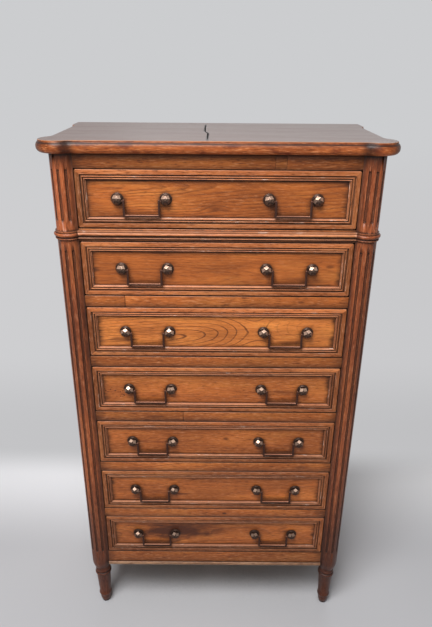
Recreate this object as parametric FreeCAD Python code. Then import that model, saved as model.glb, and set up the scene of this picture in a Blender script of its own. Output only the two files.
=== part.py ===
import FreeCAD, Part
import math
import os

# Semainier: a tall chest of seven equal drawers between fluted corner columns,
# with a lobed top, a belt moulding under the first drawer and turned legs.
# Millimetres, +Z up, front towards -Y, origin at the bottom centre of the overall box.

os.makedirs("parts", exist_ok=True)
Vec = FreeCAD.Vector

# Case
case_width = 722.0            # across the flat side faces of the corner posts
case_depth = 365.0            # from the faces of the rails to the faces of the back posts
leg_height = 166.0            # floor to the underside of the case
base_rail_height = 51.0
frieze_height = 34.0
rail_height = 30.0            # between two drawers
opening_height = 136.0
drawer_count = 7
rail_depth = 46.0             # front rails and front posts, front to back
front_rail_thickness = 22.0   # frieze and base rail
post_width = 41.0             # flat part of a corner post, seen from the front
back_post_depth = 44.0
back_post_proud = 11.0        # back posts stand this far out of the sides
post_arris = 2.0              # softened edges of the back posts

# Columns on the front posts
column_radius = 27.0
column_proud = 12.0           # stands this far out of the front and of the side
column_foot_height = 13.0     # rounded lower end of the column, above the case's underside
column_foot_drop = 18.0       # and below it
column_foot_radius = 20.0
column_foot_swell = 2.0       # how full the rounding is
flute_count = 5
flute_pitch = 36.0            # degrees
flute_corner = 45.0           # the middle flute points at the corner
flute_width = 7.0
flute_sink = 3.0              # depth of a flute
flute_rail_gap = 19.0         # flutes stop this far from the belt's rail
flute_base_gap = 9.0          # and from the base rail

# Turned legs
leg_shift_in = 2.0            # leg axis nearer the middle than the column's
leg_neck_radius = 20.0
leg_taper_top_radius = 21.2
leg_taper_foot_radius = 16.8
upper_bead_swell = 2.3        # beads stand out of the neck
lower_bead_swell = 4.2
upper_bead_half = 5.0
lower_bead_half = 5.0
ankle_height = 35.5
ankle_half = 5.0
ankle_swell = 2.0
toe_radius = 14.8
toe_neck_radius = 15.4
sole_radius = 10.5
bead_quirk = 0.5              # flat between two beads
neck_length = 6.5

# Top
top_thickness = 28.0
top_front_overhang = 22.0     # straight front edge, beyond the rails
top_side_overhang = 20.0
top_back_overhang = 10.0
top_lip = 2.0                 # thin raised field on the rounded edge
top_lip_inset = 5.0
lobe_radius = 49.5            # round lobes over the columns
lobe_shift_out = 4.0          # lobe centre from the column's axis
lobe_shift_back = 3.0
lobe_cove_radius = 25.0       # hollow corner between a lobe and a straight edge
ear_turn_radius = 38.0        # double curve from the side edge out to the ear over a back post
ear_lead = 6.0                # ear starts this far in front of the back post
top_edge_round = 12.0
split_width = 3.0             # age split along the boards
split_back_x = -33.0
split_front_x = -23.5
split_end_gap = 26.0          # whole wood left at the back edge
split_jog = 168.0             # where it steps over, from the front of the rails
split_jog_length = 42.0

# Belt moulding and base bead
belt_bottom = 6.0             # above the bottom of its rail
belt_height = 20.0
belt_nose_proud = 7.0
belt_nose_half = 4.5
belt_nose_lift = 1.0          # nose above the middle of the belt
belt_ring_gap = 0.2           # straight belts stop short of the column rings
belt_step_proud = 3.0
belt_quirk_proud = 2.0
belt_bead_height = 4.0
belt_bead_swell = 1.2
belt_cap_height = 3.5
base_bead_height = 12.0
base_bead_proud = 5.0

# Sides, back and drawer supports
side_rail_thickness = 20.0
panel_thickness = 8.0
panel_recess = 7.0
panel_tongue = 6.0            # how far a panel reaches into its grooves
back_rail_thickness = 20.0
back_rail_inset = 22.0        # rear face of the back rails from the rear of the case
back_board_thickness = 8.0
back_board_count = 5
back_board_gap = 0.6
runner_width = 45.0
runner_thickness = 18.0
guide_height = 20.0
stop_length = 40.0
stop_width = 12.0
stop_height = 6.0
stop_spacing = 380.0

# Drawers
drawer_gap = 1.2              # around a drawer front
drawer_field_sink = 7.0       # field lies behind the moulded frame
drawer_field_thickness = 20.0
frame_width = 24.5
frame_corner_radius = 5.0
frame_edge_round = 2.5
frame_border = 11.5           # flat outer border
frame_groove = 2.5
frame_outer_bead = 4.5
frame_bead_groove = 1.0
frame_inner_bead = 3.5
frame_groove_sink = 3.5
frame_bead_sink = 0.8         # beads stay below the border
frame_lip_drop = 1.0          # inner edge slopes down from the groove's floor
drawer_side_thickness = 12.0
drawer_side_gap = 0.5         # between a drawer side and its guide, beyond drawer_gap
drawer_back_gap = 10.0
drawer_run_gap = 0.3          # under the drawer sides
drawer_side_height = 118.0
drawer_bottom_lift = 10.0
drawer_bottom_thickness = 8.0
stop_gap = 0.3

# Pulls
pull_offset = 172.0           # pull centre from the middle of the drawer
pull_post_spacing = 110.0
rosette_radius = 14.0
rosette_thickness = 3.0
rosette_edge = 1.2
neck_radius = 6.0
neck_length_seen = 2.0        # between the rosette and the head
head_back_radius = 7.0
head_radius = 11.5
head_table_radius = 6.5
head_back_length = 5.0
head_slope_length = 5.0
head_point_length = 3.0
head_facets = 8
stem_radius = 3.0
nut_radius = 7.0
nut_thickness = 5.0
nut_sides = 6
pivot_drop = 3.0              # bail pivot below the post's centre, in the plane of the widest ring
pin_radius = 1.6
pin_clearance = 0.05
pin_end = 6.5                 # pin stops this far from the post's centre
bail_bar = 5.0                # square bar
bail_width = 80.0             # between the centres of the uprights
bail_drop = 34.0
bail_top = 3.5                # uprights end this far above the pivot
bail_chamfer = 0.7

# Derived places
drawer_pitch = opening_height + rail_height
case_half = case_width / 2
opening_half = case_half - post_width
column_x = case_half + column_proud - column_radius
column_back = column_radius - column_proud
front_overhang = lobe_radius - lobe_shift_back - column_back
overall_depth = front_overhang + case_depth + top_back_overhang
front_y = front_overhang - overall_depth / 2
back_y = front_y + case_depth
column_y = front_y + column_back
leg_x = column_x - leg_shift_in
back_leg_y = back_y - back_post_depth / 2
case_bottom = leg_height
first_opening = case_bottom + base_rail_height
case_top = first_opening + drawer_count * drawer_pitch - rail_height + frieze_height
belt_rail_bottom = first_opening + (drawer_count - 1) * drawer_pitch - rail_height
belt_start = belt_rail_bottom + belt_bottom
front_post_back = front_y + rail_depth
back_post_front = back_y - back_post_depth
field_front = front_y + drawer_field_sink
field_back = field_front + drawer_field_thickness
head_back = field_front - rosette_thickness - neck_length_seen
pivot_y = head_back - head_back_length
back_rail_front = back_y - back_rail_inset - back_rail_thickness
drawer_back = back_rail_front - drawer_back_gap


def box(x0, x1, y0, y1, z0, z1):
    return Part.makeBox(x1 - x0, y1 - y0, z1 - z0, Vec(x0, y0, z0))


def mirrored(shape):
    return shape.mirror(Vec(0, 0, 0), Vec(1, 0, 0))


def both_sides(shape):
    return [shape, mirrored(shape)]


def save(node, solids):
    if isinstance(solids, list):
        shape = Part.makeCompound(solids)
    else:
        shape = solids
    shape.exportStep("parts/" + node + ".step")


def arc(start, middle, end):
    return Part.Arc(start, middle, end).toShape()


def line(start, end):
    return Part.makeLine(start, end)


def step_end(step):
    return step[-1] if isinstance(step[0], tuple) else step


def profile_edges(steps, place):
    """Edges through (a, b) points; a step that is a pair of points is an arc's middle and end."""
    edges = []
    last = place(*steps[0])
    for step in steps[1:]:
        end = place(*step_end(step))
        if isinstance(step[0], tuple):
            edges.append(arc(last, place(*step[0]), end))
        else:
            edges.append(line(last, end))
        last = end
    return edges


def closed(steps):
    """Steps joined back to the axis or the flat back at both ends."""
    low = steps[0][1]
    high = step_end(steps[-1])[1]
    return [(0.0, low)] + steps + [(0.0, high), (0.0, low)]


def turned(steps, x, y):
    """Solid of revolution about an upright axis; steps are (radius, height)."""
    edges = profile_edges(closed(steps), lambda r, z: Vec(x + r, y, z))
    return Part.Face(Part.Wire(edges)).revolve(Vec(x, y, 0), Vec(0, 0, 1), 360)


# Mouldings

def belt_steps():
    """Belt section from the bottom up, as (how proud, height above its lower edge)."""
    nose_middle = belt_height / 2 + belt_nose_lift
    nose_low = nose_middle - belt_nose_half
    nose_high = nose_middle + belt_nose_half
    bead_top = belt_bead_height
    bead_side = belt_step_proud
    cap_low = belt_height - belt_cap_height
    return [
        (bead_side, 0.0),
        ((bead_side + belt_bead_swell, bead_top / 2), (bead_side, bead_top)),
        (belt_quirk_proud, bead_top),
        (belt_quirk_proud, nose_low),
        (belt_step_proud, nose_low),
        ((belt_nose_proud, nose_middle), (belt_step_proud, nose_high)),
        (belt_quirk_proud, nose_high),
        (belt_quirk_proud, cap_low),
        (belt_step_proud, cap_low),
        (belt_step_proud, belt_height),
    ]


def shifted(steps, reach, rise):
    moved = []
    for step in steps:
        if isinstance(step[0], tuple):
            moved.append(tuple((p[0] + reach, p[1] + rise) for p in step))
        else:
            moved.append((step[0] + reach, step[1] + rise))
    return moved


def moulding(steps, place, run):
    """Straight moulding: a section closed along its flat back and extruded."""
    return Part.Face(Part.Wire(profile_edges(closed(steps), place))).extrude(run)


def post_ring(extra=0.0):
    return turned(shifted(belt_steps(), column_radius + extra, belt_start), column_x, column_y)


def belt_moulding():
    ring_room = post_ring(belt_ring_gap)
    front = moulding(belt_steps(), lambda a, b: Vec(-column_x, front_y - a, belt_start + b),
                     Vec(2 * column_x, 0, 0))
    front = front.cut(Part.makeCompound(both_sides(ring_room)))
    side = moulding(belt_steps(), lambda a, b: Vec(case_half + a, column_y, belt_start + b),
                    Vec(0, back_post_front - column_y, 0))
    side = side.cut(ring_room)
    return [front] + both_sides(side)


def base_bead():
    half = base_bead_height / 2
    steps = [
        (base_bead_proud - half / 2, 0.0),
        ((base_bead_proud, half), (base_bead_proud - half / 2, base_bead_height)),
    ]
    return moulding(steps, lambda a, b: Vec(-opening_half, front_y - a, case_bottom + b),
                    Vec(2 * opening_half, 0, 0))


# Posts

def leg_steps():
    """Turning from the floor up, as (radius, height)."""
    upper_radius = leg_neck_radius + upper_bead_swell
    lower_radius = leg_neck_radius + lower_bead_swell
    neck_low = leg_height - column_foot_drop - neck_length
    upper_bead = neck_low - upper_bead_half
    upper_low = upper_bead - upper_bead_half
    lower_bead = upper_low - bead_quirk - lower_bead_half
    lower_low = lower_bead - lower_bead_half
    ankle_high = ankle_height + ankle_half
    ankle_low = ankle_height - ankle_half
    ankle_radius = leg_taper_foot_radius + ankle_swell
    return [
        (sole_radius, 0.0),
        ((toe_radius, ankle_low / 2), (toe_neck_radius, ankle_low)),
        (leg_taper_foot_radius, ankle_low),
        ((ankle_radius, ankle_height), (leg_taper_foot_radius, ankle_high)),
        (leg_taper_top_radius, lower_low),
        (leg_neck_radius, lower_low),
        ((lower_radius, lower_bead), (leg_neck_radius, lower_bead + lower_bead_half)),
        (leg_neck_radius, upper_low),
        ((upper_radius, upper_bead), (leg_neck_radius, neck_low)),
        (leg_neck_radius, case_bottom),
    ]


def column_steps():
    foot_low = case_bottom - column_foot_drop
    foot_high = case_bottom + column_foot_height
    foot_middle = (column_foot_radius + column_radius) / 2 + column_foot_swell
    return [
        (column_foot_radius, foot_low),
        ((foot_middle, (foot_low + foot_high) / 2), (column_radius, foot_high)),
        (column_radius, case_top),
    ]


def flute(angle, low, high):
    """Round-bottomed groove with round ends, at an angle from the front."""
    radius = flute_width / 2
    reach = column_radius - flute_sink + radius
    x = column_x + reach * math.sin(math.radians(angle))
    y = column_y - reach * math.cos(math.radians(angle))
    groove = Part.makeCylinder(radius, high - low, Vec(x, y, low))
    for z in (low, high):
        groove = groove.fuse(Part.makeSphere(radius, Vec(x, y, z)))
    return groove


def flutes():
    radius = flute_width / 2
    belt_rail_top = belt_rail_bottom + rail_height
    runs = [
        (first_opening + flute_base_gap + radius, belt_rail_bottom - flute_rail_gap - radius),
        (belt_rail_top + flute_rail_gap + radius, case_top - frieze_height - radius),
    ]
    cutters = []
    for index in range(flute_count):
        angle = flute_corner + (index - (flute_count - 1) / 2) * flute_pitch
        for low, high in runs:
            cutters.append(flute(angle, low, high))
    return cutters


def front_post(panels):
    stile = box(opening_half, case_half, front_y, front_post_back, case_bottom, case_top)
    post = turned(column_steps(), column_x, column_y)
    post = post.fuse([stile, post_ring(), turned(leg_steps(), leg_x, column_y)])
    rail_room = box(opening_half - 2 * column_radius, opening_half, front_y,
                    front_post_back + column_radius, case_bottom, case_top)
    side_room = box(opening_half, case_half, front_post_back,
                    front_post_back + column_radius, case_bottom, case_top)
    return post.cut([rail_room, side_room] + flutes() + panels).removeSplitter()


def back_post(panels):
    outer = case_half + back_post_proud
    stile = box(opening_half, outer, back_post_front, back_y, case_bottom, case_top)
    upright = []
    for edge in stile.Edges:
        middle = edge.CenterOfMass
        level = abs(middle.z - (case_bottom + case_top) / 2) < 1
        if level and (middle.y > back_leg_y or middle.x > case_half):
            upright.append(edge)
    stile = stile.makeChamfer(post_arris, upright)
    leg = turned(leg_steps(), leg_x, back_leg_y)
    return stile.fuse(leg).cut(panels).removeSplitter()


# Sides and back

def side_bays():
    """Heights of the two framed bays of a side, between its rails."""
    return [
        (first_opening, belt_rail_bottom),
        (belt_rail_bottom + rail_height, case_top - frieze_height),
    ]


def side_panels():
    outer = case_half - panel_recess
    panels = []
    for low, high in side_bays():
        panels.append(box(outer - panel_thickness, outer, front_post_back - panel_tongue,
                          back_post_front + panel_tongue, low - panel_tongue,
                          high + panel_tongue))
    return panels


def side_rails(panels):
    inner = case_half - side_rail_thickness
    heights = [
        (case_bottom, first_opening),
        (belt_rail_bottom, belt_rail_bottom + rail_height),
        (case_top - frieze_height, case_top),
    ]
    rails = []
    for low, high in heights:
        rails.append(box(inner, case_half, front_post_back, back_post_front, low, high).cut(panels))
    return rails


def back_rails():
    rear = back_rail_front + back_rail_thickness
    rails = []
    for low, high in [(case_bottom, first_opening), (belt_rail_bottom, belt_rail_bottom + rail_height),
                      (case_top - frieze_height, case_top)]:
        rails.append(box(-opening_half, opening_half, back_rail_front, rear, low, high))
    return rails


def back_boards():
    rear = back_rail_front + back_rail_thickness
    pitch = 2 * opening_half / back_board_count
    boards = []
    for index in range(back_board_count):
        left = -opening_half + index * pitch
        boards.append(box(left + back_board_gap / 2, left + pitch - back_board_gap / 2, rear,
                          rear + back_board_thickness, case_bottom, case_top))
    return boards


# Front rails and drawer supports

def opening_bottom(index):
    return first_opening + index * drawer_pitch


def drawer_rails():
    """Rails between the drawers, and the thin shelf behind the base rail."""
    rails = [box(-opening_half, opening_half, front_y + front_rail_thickness, front_post_back,
                 first_opening - runner_thickness, first_opening)]
    for index in range(1, drawer_count):
        top = opening_bottom(index)
        rails.append(box(-opening_half, opening_half, front_y, front_post_back, top - rail_height, top))
    return rails


def front_rail(low, high):
    return box(-opening_half, opening_half, front_y, front_y + front_rail_thickness, low, high)


def runners():
    outer = case_half - side_rail_thickness
    solids = []
    for index in range(drawer_count):
        top = opening_bottom(index)
        runner = box(outer - runner_width, outer, front_post_back, back_post_front,
                     top - runner_thickness, top)
        solids += both_sides(runner)
    return solids


def guides():
    outer = case_half - side_rail_thickness
    solids = []
    for index in range(drawer_count):
        low = opening_bottom(index)
        guide = box(opening_half, outer, front_post_back, back_post_front, low, low + guide_height)
        solids += both_sides(guide)
    return solids


def stops():
    front = field_back + stop_gap
    half = stop_length / 2
    solids = []
    for index in range(drawer_count):
        low = opening_bottom(index)
        middle = stop_spacing / 2
        stop = box(middle - half, middle + half, front, front + stop_width, low, low + stop_height)
        solids += both_sides(stop)
    return solids


# Top

def top_outline():
    """Right half of the edge in plan, from the front middle round to the back."""
    front = front_y - top_front_overhang
    side = case_half + top_side_overhang
    ear = side + back_post_proud
    centre = Vec(column_x + lobe_shift_out, column_y + lobe_shift_back, 0)
    reach = lobe_radius + lobe_cove_radius
    front_rise = centre.y - front + lobe_cove_radius
    side_rise = side + lobe_cove_radius - centre.x
    front_cove = Vec(centre.x - math.sqrt(reach ** 2 - front_rise ** 2), front - lobe_cove_radius, 0)
    side_cove = Vec(side + lobe_cove_radius, centre.y + math.sqrt(reach ** 2 - side_rise ** 2), 0)

    def touch(cove):
        return centre + (cove - centre) * (lobe_radius / reach)

    def bulge(cove, along, radius):
        """Middle of a hollow arc between its two ends."""
        mean = (along + touch(cove)) * 0.5
        return cove + (mean - cove).normalize() * radius

    front_line = Vec(front_cove.x, front, 0)
    side_line = Vec(side, side_cove.y, 0)
    corner = (Vec(1, -1, 0)).normalize() * lobe_radius + centre
    rear = back_y + top_back_overhang + 2 * top_thickness

    turn = math.acos(1 - back_post_proud / (2 * ear_turn_radius))
    half_length = ear_turn_radius * math.sin(turn)
    ear_front = back_post_front - ear_lead
    middle = Vec(side + back_post_proud / 2, ear_front - half_length, 0)
    ear_start = Vec(side, middle.y - half_length, 0)
    ear_end = Vec(ear, ear_front, 0)
    quarter = ear_turn_radius * math.sin(turn / 2)
    hollow = Vec(side + ear_turn_radius * (1 - math.cos(turn / 2)), ear_start.y + quarter, 0)
    round_end = Vec(ear - ear_turn_radius * (1 - math.cos(turn / 2)), ear_end.y - quarter, 0)
    return [
        line(Vec(0, front, 0), front_line),
        arc(front_line, bulge(front_cove, front_line, lobe_cove_radius), touch(front_cove)),
        arc(touch(front_cove), corner, touch(side_cove)),
        arc(touch(side_cove), bulge(side_cove, side_line, lobe_cove_radius), side_line),
        line(side_line, ear_start),
        arc(ear_start, hollow, middle),
        arc(middle, round_end, ear_end),
        line(ear_end, Vec(ear, rear, 0)),
        line(Vec(ear, rear, 0), Vec(0, rear, 0)),
    ]


def slab_layer(wire, low, high, rounds):
    """Board cut to the wire; rounds are (height, radius) of the edges to round over."""
    layer = Part.Face(wire).extrude(Vec(0, 0, high - low)).translated(Vec(0, 0, low))
    rear = back_y + top_back_overhang
    for height, radius in rounds:
        rims = []
        for edge in layer.Edges:
            level = edge.BoundBox.ZLength < 0.01 and abs(edge.CenterOfMass.z - height) < 0.01
            if level and edge.CenterOfMass.y < rear + top_thickness:
                rims.append(edge)
        layer = layer.makeFillet(radius, rims)
    return layer


def top_slab():
    right = top_outline()
    left = [mirrored(edge) for edge in right]
    wire = Part.Wire(Part.__sortEdges__(right + left))
    ledge = case_top + top_thickness - top_lip
    face = case_top + top_thickness
    lower = slab_layer(wire, case_top, ledge, [(case_top, top_edge_round), (ledge, top_edge_round)])
    inner = wire.makeOffset2D(-top_lip_inset)
    sunk = ledge - top_edge_round / 2
    upper = slab_layer(inner, sunk, face, [(face, top_lip)])
    slab = lower.fuse(upper).removeSplitter()
    rear = back_y + top_back_overhang
    beyond = 2 * (case_half + lobe_radius)
    waste = box(-beyond, beyond, rear, rear + 4 * top_thickness, case_top - 1, face + 1)
    return slab.cut([waste, top_split()])


def top_split():
    """Split that opens towards the middle and steps over at a knot."""
    back = back_y - split_end_gap
    jog_back = front_y + split_jog
    jog_front = jog_back - split_jog_length
    half = split_width / 2
    left = [(split_back_x, back), (split_back_x - half, (back + jog_back) / 2),
            (split_back_x + half / 2, jog_back), (split_front_x - half, jog_front),
            (split_front_x - half, (jog_front + front_y) / 2), (split_front_x, front_y)]
    right = [(split_front_x + half, (jog_front + front_y) / 2), (split_front_x + half, jog_front),
             (split_back_x + 2 * half, jog_back), (split_back_x + half, (back + jog_back) / 2)]
    points = [Vec(x, y, case_top - 1) for x, y in left + right]
    points.append(points[0])
    return Part.Face(Part.makePolygon(points)).extrude(Vec(0, 0, top_thickness + 2))


# Drawers

def rounded_front(y0, y1, low):
    """Board as large as the opening less its gap, with softened corners."""
    half = opening_half - drawer_gap
    board = box(-half, half, y0, y1, low + drawer_gap, low + opening_height - drawer_gap)
    corners = [edge for edge in board.Edges if edge.BoundBox.YLength > (y1 - y0) / 2]
    return board.makeFillet(frame_corner_radius, corners)


def frame_steps():
    """Section of the frame from its outer edge inwards, as (distance in, height)."""
    face = drawer_field_sink
    floor = face - frame_groove_sink
    crown = face - frame_bead_sink
    outer_low = frame_border + frame_groove
    outer_high = outer_low + frame_outer_bead
    inner_low = outer_high + frame_bead_groove
    inner_high = inner_low + frame_inner_bead
    turn = frame_edge_round * (1 - math.sqrt(0.5))
    return [
        (0.0, 0.0),
        (0.0, face - frame_edge_round),
        ((turn, face - turn), (frame_edge_round, face)),
        (frame_border, face),
        (frame_border, floor),
        (outer_low, floor),
        ((outer_low + frame_outer_bead / 2, crown), (outer_high, floor)),
        (inner_low, floor),
        ((inner_low + frame_inner_bead / 2, crown), (inner_high, floor)),
        (frame_width, floor - frame_lip_drop),
        (frame_width, 0.0),
        (0.0, 0.0),
    ]


def mitred(length):
    """One frame moulding lying along X, outer edge at z = 0, mitred at both ends."""
    half = length / 2
    section = profile_edges(frame_steps(), lambda a, b: Vec(-half, -b, a))
    bar = Part.Face(Part.Wire(section)).extrude(Vec(length, 0, 0))
    reach = frame_width + 1
    for side in (-1, 1):
        corner = [Vec(side * half, 1, 0), Vec(side * (half - reach), 1, reach),
                  Vec(side * (half + reach), 1, reach), Vec(side * half, 1, 0)]
        depth = drawer_field_sink + 2
        bar = bar.cut(Part.Face(Part.makePolygon(corner)).extrude(Vec(0, -depth, 0)))
    return bar


def drawer_frame(low):
    width = 2 * (opening_half - drawer_gap)
    height = opening_height - 2 * drawer_gap
    middle = low + opening_height / 2
    rounded = rounded_front(front_y - 1, field_front + 1, low)
    pieces = []
    for turn, length, reach in [(0, width, height / 2), (90, height, width / 2),
                                (180, width, height / 2), (270, height, width / 2)]:
        bar = mitred(length).translated(Vec(0, field_front, -reach))
        bar.rotate(Vec(0, 0, 0), Vec(0, 1, 0), turn)
        pieces.append(bar.translated(Vec(0, 0, middle)).common(rounded))
    return pieces


def post_places(low):
    z = low + opening_height / 2
    places = []
    for side in (-1, 1):
        for end in (-1, 1):
            places.append((side * pull_offset + end * pull_post_spacing / 2, end, z))
    return places


def drawer_front(low):
    board = rounded_front(field_front, field_back, low)
    holes = []
    for x, end, z in post_places(low):
        holes.append(Part.makeCylinder(stem_radius, drawer_field_thickness + 2,
                                       Vec(x, field_front - 1, z), Vec(0, 1, 0)))
    return board.cut(holes)


def drawer_box(low):
    half = opening_half - drawer_gap - drawer_side_gap
    inner = half - drawer_side_thickness
    bottom = low + drawer_run_gap
    floor = low + drawer_bottom_lift
    floor_top = floor + drawer_bottom_thickness
    side = box(inner, half, field_back, drawer_back, bottom, low + drawer_side_height)
    base = box(-inner, inner, field_back, drawer_back, floor, floor_top)
    rear = box(-inner, inner, drawer_back - drawer_side_thickness, drawer_back, floor_top,
               low + drawer_side_height)
    return both_sides(side) + [base, rear]


def ring_points(radius, count, phase, x, y, z):
    points = []
    for index in range(count):
        angle = 2 * math.pi * (index + phase) / count
        points.append(Vec(x + radius * math.cos(angle), y, z + radius * math.sin(angle)))
    return points


def faceted_head(x, z):
    """Rose-cut head: rings of points joined by flat triangles, closed by a point."""
    girdle = head_back - head_back_length
    table = girdle - head_slope_length
    rings = [ring_points(head_back_radius, head_facets, 0.0, x, head_back, z),
             ring_points(head_radius, head_facets, 0.5, x, girdle, z),
             ring_points(head_table_radius, head_facets, 0.0, x, table, z)]
    tip = Vec(x, table - head_point_length, z)
    triangles = []
    for index in range(head_facets):
        after = (index + 1) % head_facets
        inner, outer, upper = rings
        triangles.append((inner[index], inner[after], outer[index]))
        triangles.append((outer[index], inner[after], outer[after]))
        triangles.append((outer[index], upper[after], upper[index]))
        triangles.append((outer[index], outer[after], upper[after]))
        triangles.append((upper[index], upper[after], tip))
    faces = [Part.Face(Part.makePolygon(list(t) + [t[0]])) for t in triangles]
    faces.append(Part.Face(Part.makePolygon(rings[0] + [rings[0][0]])))
    head = Part.makeSolid(Part.makeShell(faces))
    if head.Volume < 0:
        head.reverse()
    return head


def pull_post(x, end, z):
    """Rosette, neck, faceted head, stem through the board and its nut."""
    out = Vec(0, -1, 0)
    rosette = Part.makeCylinder(rosette_radius, rosette_thickness, Vec(x, field_front, z), out)
    rim = [edge for edge in rosette.Edges
           if edge.CenterOfMass.y < field_front - rosette_thickness / 2 and len(edge.Vertexes) == 1]
    rosette = rosette.makeChamfer(rosette_edge, rim)
    neck = Part.makeCylinder(neck_radius, field_front - head_back, Vec(x, field_front, z), out)
    stem = Part.makeCylinder(stem_radius, drawer_field_thickness, Vec(x, field_front, z), Vec(0, 1, 0))
    corners = ring_points(nut_radius, nut_sides, 0.0, x, field_back, z)
    nut = Part.Face(Part.makePolygon(corners + corners[:1])).extrude(Vec(0, nut_thickness, 0))
    post = rosette.fuse([neck, stem, nut, faceted_head(x, z)])
    bore = Part.makeCylinder(pin_radius + pin_clearance, 2 * head_radius,
                             Vec(x - end * (pin_end - pin_clearance), pivot_y, z - pivot_drop),
                             Vec(-end, 0, 0))
    return post.cut(bore)


def bail(x, z):
    """Square-cornered drop of square bar, with a round pin at the top of each upright."""
    pivot = z - pivot_drop
    half = bail_bar / 2
    inner = bail_width / 2 - half
    outer = bail_width / 2 + half
    right_half = [(inner, half - bail_drop), (inner, bail_top), (outer, bail_top),
                  (outer, -half - bail_drop)]
    outline = [(-a, b) for a, b in reversed(right_half)] + right_half
    corners = [Vec(x + a, pivot_y - half, pivot + b) for a, b in outline]
    bar = Part.Face(Part.makePolygon(corners + corners[:1])).extrude(Vec(0, bail_bar, 0))
    rims = [edge for edge in bar.Edges if edge.BoundBox.YLength < 0.01]
    bar = bar.makeChamfer(bail_chamfer, rims)
    pin_length = pull_post_spacing / 2 - pin_end - bail_width / 2
    pins = []
    for end in (-1, 1):
        pins.append(Part.makeCylinder(pin_radius, pin_length, Vec(x + end * bail_width / 2, pivot_y, pivot),
                                      Vec(end, 0, 0)))
    return bar.fuse(pins)


# Write every piece

panels = side_panels()
post = front_post(panels)
rear_post = back_post(panels)

save("top", top_slab())
save("front_right_post", post)
save("front_left_post", mirrored(post))
save("rear_right_post", rear_post)
save("rear_left_post", mirrored(rear_post))
save("right_side_panels", panels)
save("left_side_panels", [mirrored(panel) for panel in panels])
rails = side_rails(panels)
save("side_rails", rails + [mirrored(rail) for rail in rails])
save("back_rails", back_rails())
save("back_boards", back_boards())
save("frieze_rail", front_rail(case_top - frieze_height, case_top))
save("drawer_rails", drawer_rails())
save("base_rail", front_rail(case_bottom, first_opening))
save("base_bead", base_bead())
save("belt_moulding", belt_moulding())
save("drawer_runners", runners())
save("drawer_guides", guides())
save("drawer_stops", stops())

for number in range(1, drawer_count + 1):
    low = opening_bottom(drawer_count - number)
    name = "drawer_" + str(number)
    pull_height = low + opening_height / 2
    save(name + "_front", drawer_front(low))
    save(name + "_frame", drawer_frame(low))
    save(name + "_box", drawer_box(low))
    save(name + "_pull_posts", [pull_post(x, end, z) for x, end, z in post_places(low)])
    save(name + "_left_bail", bail(-pull_offset, pull_height))
    save(name + "_right_bail", bail(pull_offset, pull_height))
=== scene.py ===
import math
import random

import bmesh
import bpy
import numpy as np
from mathutils import Matrix, Vector


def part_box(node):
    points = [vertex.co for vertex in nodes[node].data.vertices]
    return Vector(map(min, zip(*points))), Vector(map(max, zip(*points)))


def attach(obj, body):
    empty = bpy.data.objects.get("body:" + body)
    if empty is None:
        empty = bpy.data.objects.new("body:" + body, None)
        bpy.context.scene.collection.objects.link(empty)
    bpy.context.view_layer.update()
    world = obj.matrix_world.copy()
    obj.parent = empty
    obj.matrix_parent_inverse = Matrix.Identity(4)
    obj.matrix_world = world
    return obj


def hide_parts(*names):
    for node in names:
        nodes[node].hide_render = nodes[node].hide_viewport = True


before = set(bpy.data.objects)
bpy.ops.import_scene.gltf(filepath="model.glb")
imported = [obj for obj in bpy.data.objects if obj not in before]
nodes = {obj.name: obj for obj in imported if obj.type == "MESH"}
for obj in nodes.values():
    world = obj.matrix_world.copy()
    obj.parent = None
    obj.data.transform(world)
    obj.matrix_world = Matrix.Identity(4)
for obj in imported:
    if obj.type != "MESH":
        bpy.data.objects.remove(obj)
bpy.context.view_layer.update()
mm = 0.001
drawerNumbers = range(1, 8)
print("frame:", len(nodes), "nodes")


def placeObject(name, data):
    item = bpy.data.objects.new(name, data)
    bpy.context.scene.collection.objects.link(item)
    return item


# Camera

cameraSetup = {
    "place": (-0.00164, -1.4429, 1.56652),
    "pitch": 23.942,  # degrees below the horizon
    "roll": 0.432,
    "lens": 32.6,
    "sensor": 36.0,
    "clip": (0.01, 50.0),
}


def makeCamera():
    data = bpy.data.cameras.new("camera")
    data.sensor_width = cameraSetup["sensor"]
    data.lens = cameraSetup["lens"]
    data.clip_start, data.clip_end = cameraSetup["clip"]
    camera = placeObject("camera", data)
    tip = Matrix.Rotation(math.radians(90 - cameraSetup["pitch"]), 4, "X")
    roll = Matrix.Rotation(math.radians(cameraSetup["roll"]), 4, "Z")
    camera.matrix_world = Matrix.Translation(cameraSetup["place"]) @ tip @ roll
    bpy.context.scene.camera = camera


makeCamera()
bpy.context.scene.view_settings.view_transform = "Standard"
print("camera ready")


# Node helpers

class Wire:
    def __init__(self, graph, socket):
        self.graph = graph
        self.socket = socket

    def maths(self, operation, *others):
        return self.graph.maths(operation, self, *others)

    def __add__(self, other):
        return self.maths("ADD", other)

    def __sub__(self, other):
        return self.maths("SUBTRACT", other)

    def __mul__(self, other):
        return self.maths("MULTIPLY", other)

    def __truediv__(self, other):
        return self.maths("DIVIDE", other)

    def __pow__(self, other):
        return self.maths("POWER", other)

    def __rsub__(self, other):
        return self.graph.maths("SUBTRACT", other, self)

    def __rtruediv__(self, other):
        return self.graph.maths("DIVIDE", other, self)

    def __neg__(self):
        return self.maths("MULTIPLY", -1.0)

    def __abs__(self):
        return self.maths("ABSOLUTE")

    __radd__ = __add__
    __rmul__ = __mul__


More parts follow.
